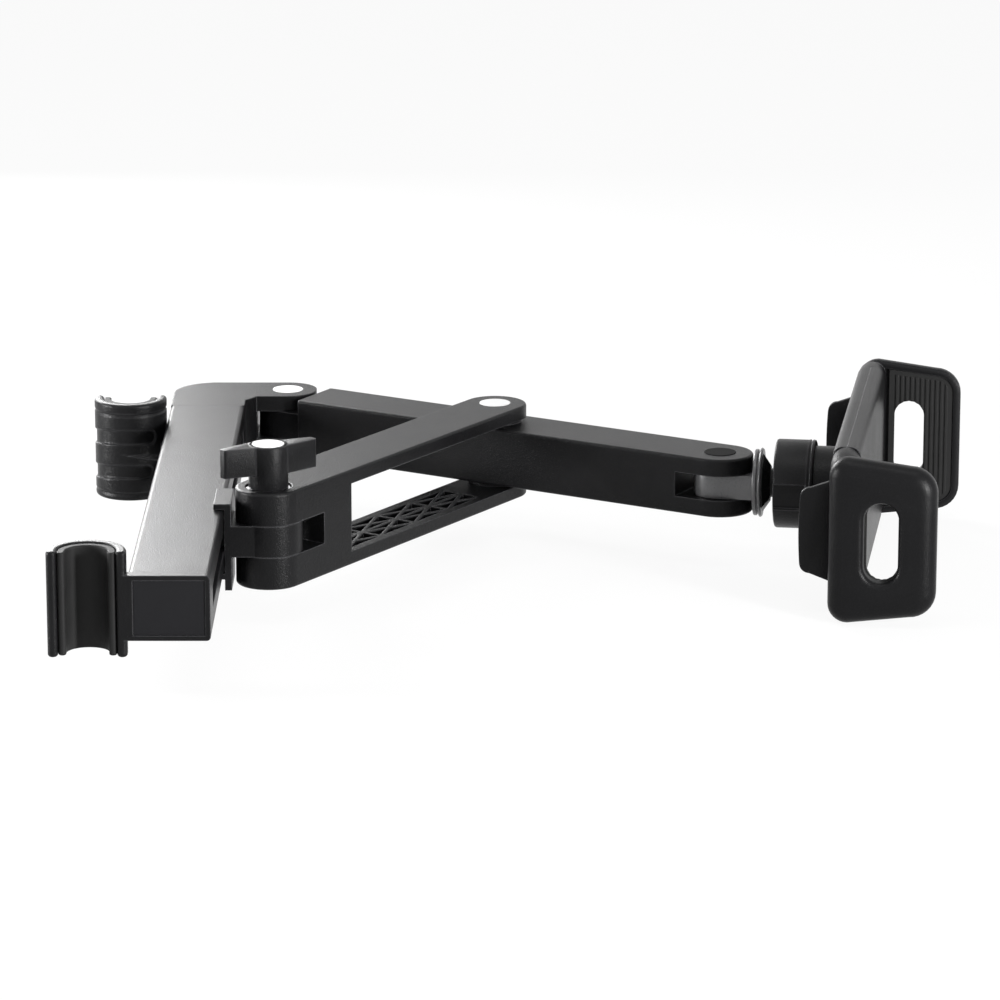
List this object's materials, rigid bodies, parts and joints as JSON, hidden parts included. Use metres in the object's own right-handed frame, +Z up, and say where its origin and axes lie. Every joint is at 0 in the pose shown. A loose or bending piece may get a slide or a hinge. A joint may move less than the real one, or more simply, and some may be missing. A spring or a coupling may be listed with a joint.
{
  "type": "headrest tablet mount",
  "caption": "Tablet mount that clamps between headrest posts: hooked bar, folding linked arms, wing knob, locking ball joint and sprung sliding jaws.",
  "frame": {"origin": "on the near post's axis at the hook's mid height", "axes": "+Y from the near post to the far post, +X toward the arms and the holder, +Z up along the posts"},
  "size_m": [0.2788, 0.2337, 0.0539],
  "materials": {
    "moulded_black": "fine grained matte",
    "satin_black": "fine satin grain",
    "smooth_panel": "smooth satin",
    "rubber": "smooth matte rubber",
    "white_cap": "satin white",
    "grey_cap": "satin light grey",
    "black_cap": "satin black",
    "satin_swivel": "smooth satin grey",
    "steel": "zinc plated",
    "nylon": "natural nylon"
  },
  "bodies": {
    "bar": {"bar_housing": "moulded_black", "end_hook": "moulded_black", "end_panel": "smooth_panel", "near_hook_liner": "rubber", "elbow": "moulded_black", "elbow_pin": "steel", "elbow_cap_top": "white_cap", "elbow_cap_bottom": "white_cap"},
    "post_clamp": {"far_hook": "moulded_black", "far_hook_liner": "rubber", "hook_carriage": "moulded_black"},
    "slider": {"slider_bracket": "moulded_black", "slide_nut": "steel", "clamp_bolt": "steel", "knob_washer": "steel"},
    "knob": {"wing_knob": "moulded_black", "knob_cap": "white_cap"},
    "arm_a": {"fork_arm": "moulded_black", "fork_pin": "steel", "fork_cap_top": "grey_cap", "fork_cap_bottom": "grey_cap"},
    "arm_b": {"box_arm": "moulded_black", "wrist_pin": "steel", "wrist_cap_top": "black_cap", "wrist_cap_bottom": "black_cap"},
    "swivel": {"wrist_swivel": "satin_swivel", "ball_stud": "moulded_black"},
    "seat_ring": {"ball_seat_ring": "nylon"},
    "friction_ring": {"ball_friction_ring": "rubber"},
    "holder": {"holder_back": "moulded_black", "holder_front": "moulded_black", "pinion_axle": "steel", "return_spring": "steel"},
    "lock_nut": {"lock_nut": "moulded_black"},
    "pinion": {"pinion": "nylon"},
    "near_jaw": {"near_jaw": "satin_black", "near_rack": "moulded_black", "near_jaw_pad": "rubber"},
    "far_jaw": {"far_jaw": "satin_black", "far_rack": "moulded_black", "far_jaw_pad": "rubber"}
  },
  "joints": [
    {"name": "elbow_fold", "type": "hinge", "parent": "bar", "child": "arm_b", "pos_m": [0.0488, 0.22135, -0.00095], "axis": [0, 0, 1], "range_deg": [-18, 14]},
    {"name": "slider_slide", "type": "slide", "parent": "bar", "child": "slider", "axis": [0, 1, 0], "range_m": [-0.029, 0.0225]},
    {"name": "fork_fold", "type": "hinge", "parent": "slider", "child": "arm_a", "pos_m": [0.0488, 0.07768, -0.00095], "axis": [0, 0, 1], "range_deg": [-5.6, 7.2]},
    {"name": "knob_turn", "type": "hinge", "parent": "slider", "child": "knob", "pos_m": [0.0488, 0.07768, -0.00095], "axis": [0, 0, 1], "continuous": true},
    {"name": "post_slide", "type": "slide", "parent": "bar", "child": "post_clamp", "axis": [0, 1, 0], "range_m": [-0.06, 0.002]},
    {"name": "wrist_turn", "type": "hinge", "parent": "arm_b", "child": "swivel", "pos_m": [0.18729, 0.14042, -0.00095], "axis": [0, 0, 1], "range_deg": [-90, 60]},
    {"name": "ball_yaw", "type": "hinge", "parent": "swivel", "child": "seat_ring", "pos_m": [0.21165, 0.137, -0.00095], "axis": [0, 0, 1], "range_deg": [-11, 11]},
    {"name": "ball_nod", "type": "hinge", "parent": "seat_ring", "child": "friction_ring", "pos_m": [0.21165, 0.137, -0.00095], "axis": [0.1392, 0.9903, 0], "range_deg": [-11, 11]},
    {"name": "ball_roll", "type": "hinge", "parent": "friction_ring", "child": "holder", "pos_m": [0.21165, 0.137, -0.00095], "axis": [0.9903, -0.1392, 0], "continuous": true},
    {"name": "nut_turn", "type": "hinge", "parent": "holder", "child": "lock_nut", "pos_m": [0.21165, 0.137, -0.00095], "axis": [0.9903, -0.1392, 0], "continuous": true},
    {"name": "near_jaw_slide", "type": "slide", "parent": "holder", "child": "near_jaw", "axis": [-0.1392, -0.9903, 0], "range_m": [0, 0.045], "stiffness_N_per_m": 180, "springref_m": -0.03},
    {"name": "far_jaw_slide", "type": "slide", "parent": "holder", "child": "far_jaw", "axis": [0.1392, 0.9903, 0], "range_m": [0, 0.045]},
    {"name": "pinion_turn", "type": "hinge", "parent": "holder", "child": "pinion", "pos_m": [0.23012, 0.1344, -0.00095], "axis": [0.9903, -0.1392, 0], "range_deg": [-0.5, 345]}
  ],
  "couplings": [
    {"joint": "slider_slide", "follows": "elbow_fold", "m_per_rad": 0.0911},
    {"joint": "fork_fold", "follows": "elbow_fold", "ratio": -0.39},
    {"joint": "far_jaw_slide", "follows": "near_jaw_slide", "ratio": 1},
    {"joint": "pinion_turn", "follows": "near_jaw_slide", "rad_per_m": 133.33}
  ]
}
